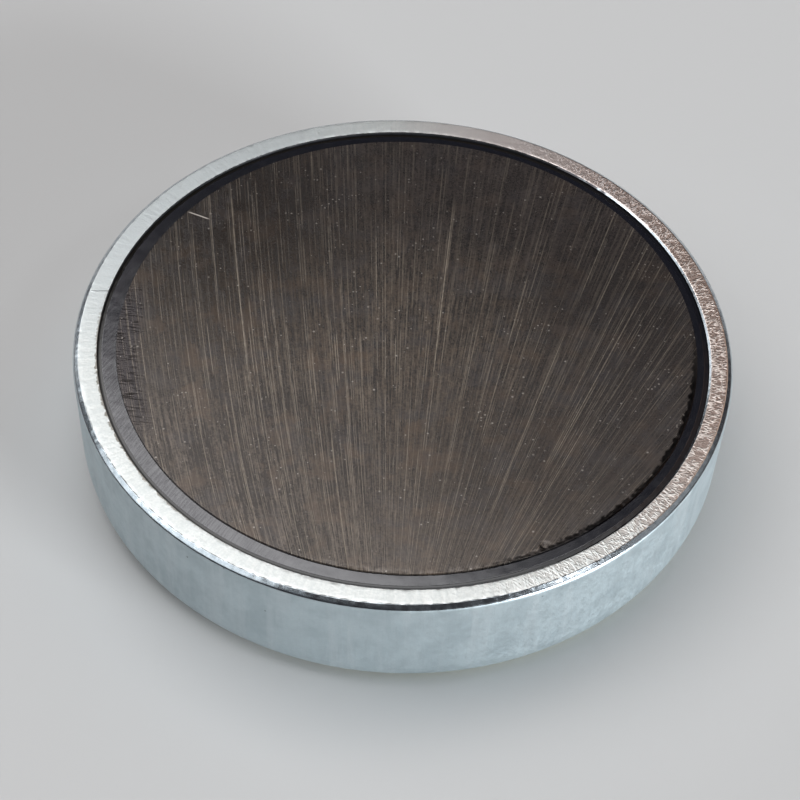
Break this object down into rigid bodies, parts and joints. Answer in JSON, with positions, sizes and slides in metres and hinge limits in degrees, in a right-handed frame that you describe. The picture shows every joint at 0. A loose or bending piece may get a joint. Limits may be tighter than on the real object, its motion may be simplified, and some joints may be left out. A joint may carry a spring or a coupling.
{
  "type": "pot magnet",
  "caption": "Flat round pot magnet: a plated steel cup around a ferrite disc held by a plastic spacer ring, with a flat holding face.",
  "frame": {"origin": "centre of the flat base, on the axis of the pot", "axes": "+Z along the pot's axis, out of the holding face; the disc lies a little off centre towards +X"},
  "size_m": [0.05, 0.05, 0.01],
  "materials": {
    "plated_steel": "bright zinc plate, faced lip, satin drawn wall",
    "ferrite": "ground, matt, fine scratches",
    "spacer_plastic": "black, satin, lightly hatched where it was dressed"
  },
  "bodies": {
    "root": {"steel_pot": "plated_steel", "ferrite_disc": "ferrite", "spacer_ring": "spacer_plastic"}
  },
  "joints": []
}
